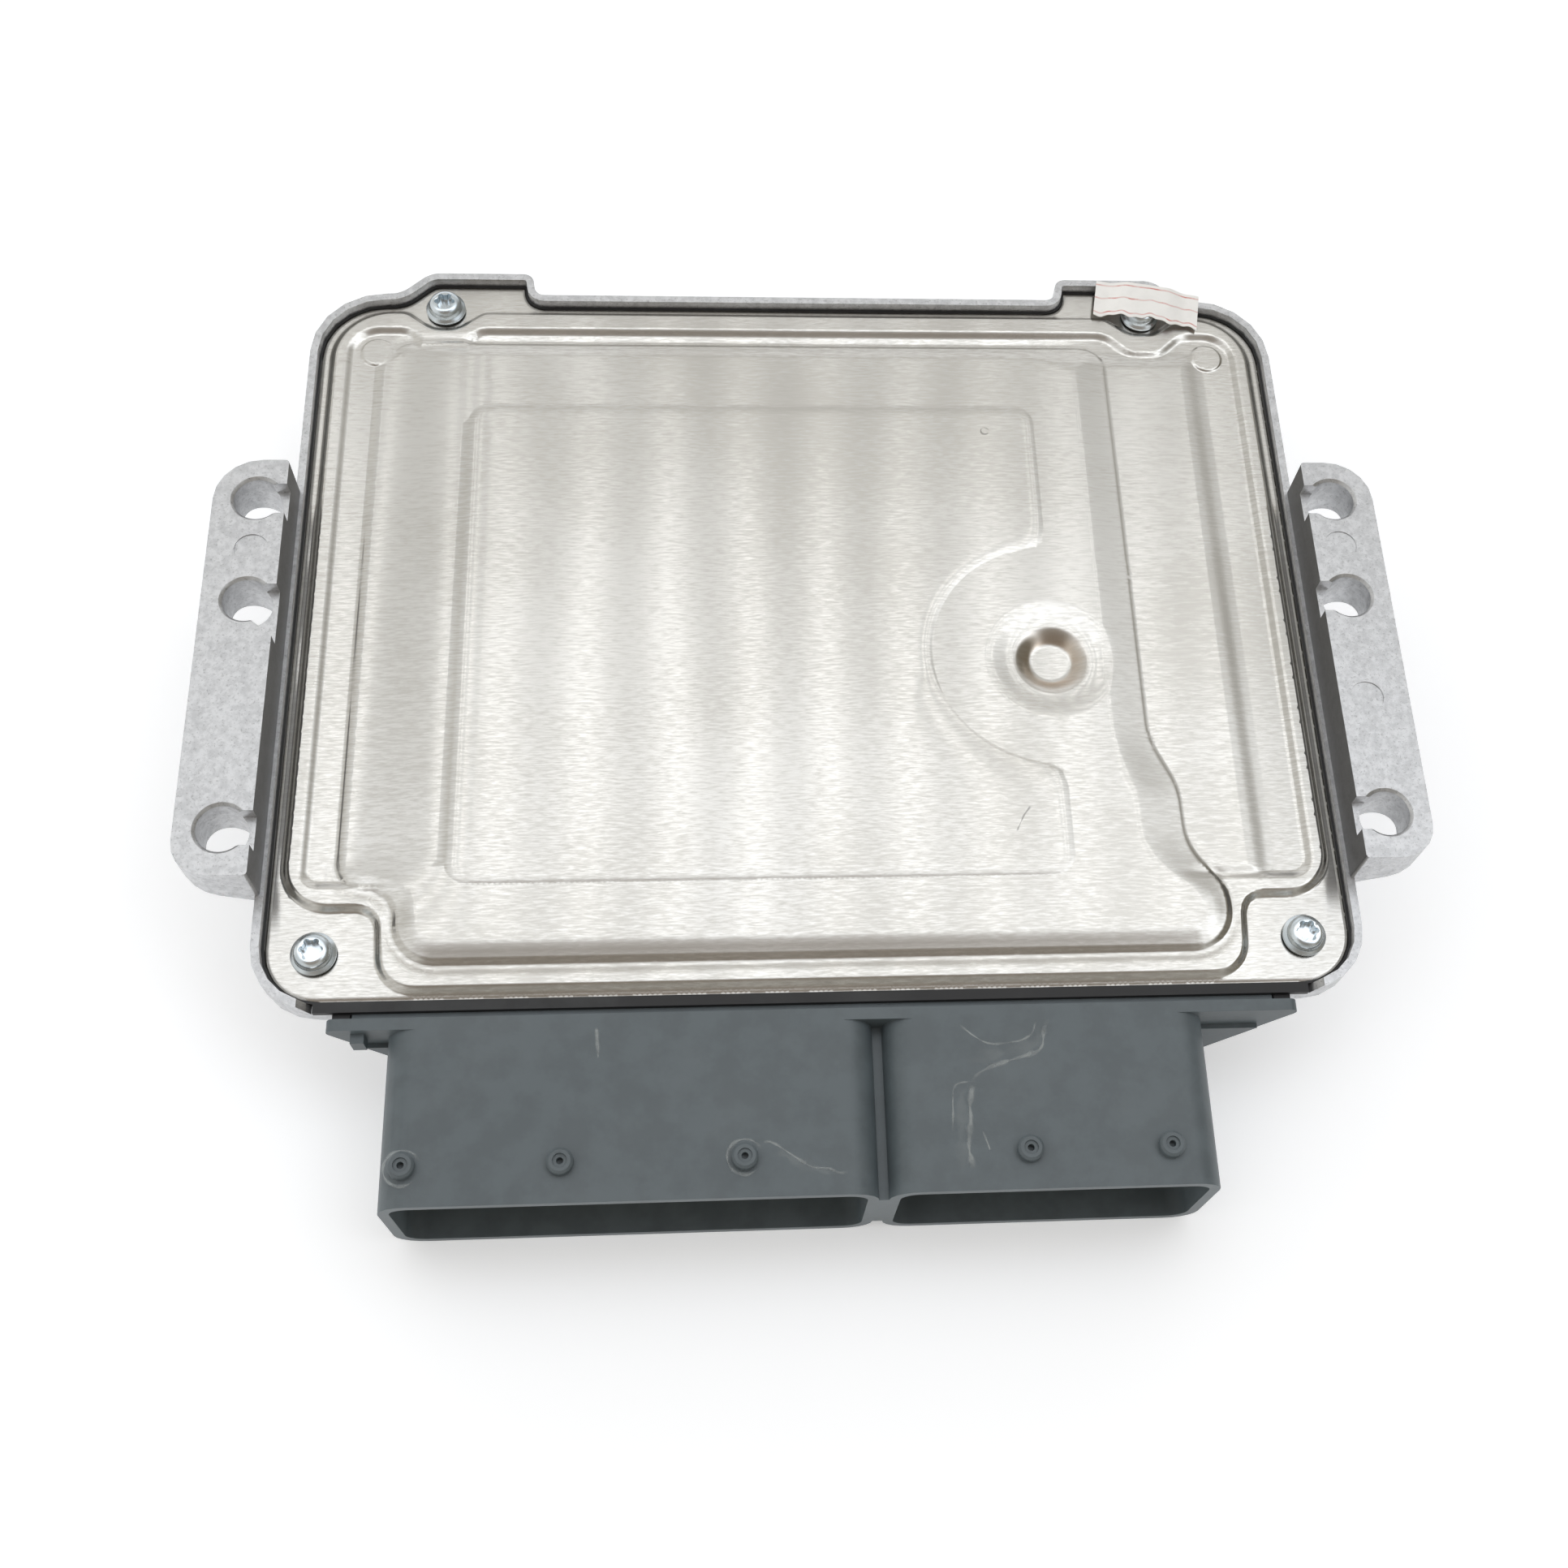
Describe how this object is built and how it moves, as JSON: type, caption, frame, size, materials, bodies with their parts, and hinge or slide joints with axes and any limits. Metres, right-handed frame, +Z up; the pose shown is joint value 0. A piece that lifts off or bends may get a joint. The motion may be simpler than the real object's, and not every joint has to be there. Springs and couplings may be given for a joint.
{
  "type": "engine control unit",
  "caption": "Flat die-cast control unit with raised mounting ears, a pressed metal cover with a vent, and a dark moulded connector header with a large and a small bay.",
  "frame": {"origin": "on the underside, below the middle of the outline", "axes": "X along the connector, Y away from the connector towards the rear rim, Z up through the cover"},
  "size_m": [0.2072, 0.1794, 0.0374],
  "materials": {
    "cast_aluminium": "as-cast, fine grain",
    "pressed_sheet": "rolled sheet with a fine straight grain",
    "header_plastic": "moulded, faint dried residue",
    "zinc_screw": "bluish zinc plating",
    "seal_rubber": "matt",
    "membrane": "porous film",
    "label_paper": "thin film, blank",
    "board_laminate": "solder mask",
    "plated_contact": "plated",
    "chip_resin": "moulded resin",
    "bare_can": "drawn can",
    "ferrite": "sintered",
    "ceramic": "fired ceramic",
    "pad_silicone": "soft filler",
    "board_screw_steel": "plated"
  },
  "bodies": {
    "root": {"housing": "cast_aluminium", "cover": "pressed_sheet", "connector_header": "header_plastic", "cover_screws": "zinc_screw", "cover_seal": "seal_rubber", "connector_seal": "seal_rubber", "vent_membrane": "membrane", "seal_label": "label_paper", "circuit_board": "board_laminate", "board_screws": "board_screw_steel", "thermal_pads": "pad_silicone", "large_bay_signal_pins": "plated_contact", "large_bay_power_pins": "plated_contact", "small_bay_signal_pins": "plated_contact", "microcontroller": "chip_resin", "flash_memory": "chip_resin", "driver_chips": "chip_resin", "power_transistors": "chip_resin", "electrolytic_capacitors": "bare_can", "choke_coil": "ferrite", "crystal": "bare_can", "pressure_sensor": "chip_resin", "voltage_regulator": "chip_resin", "bus_transceivers": "chip_resin", "ceramic_capacitors": "ceramic", "shunt_resistors": "ferrite", "clamp_diodes": "chip_resin"}
  },
  "joints": []
}
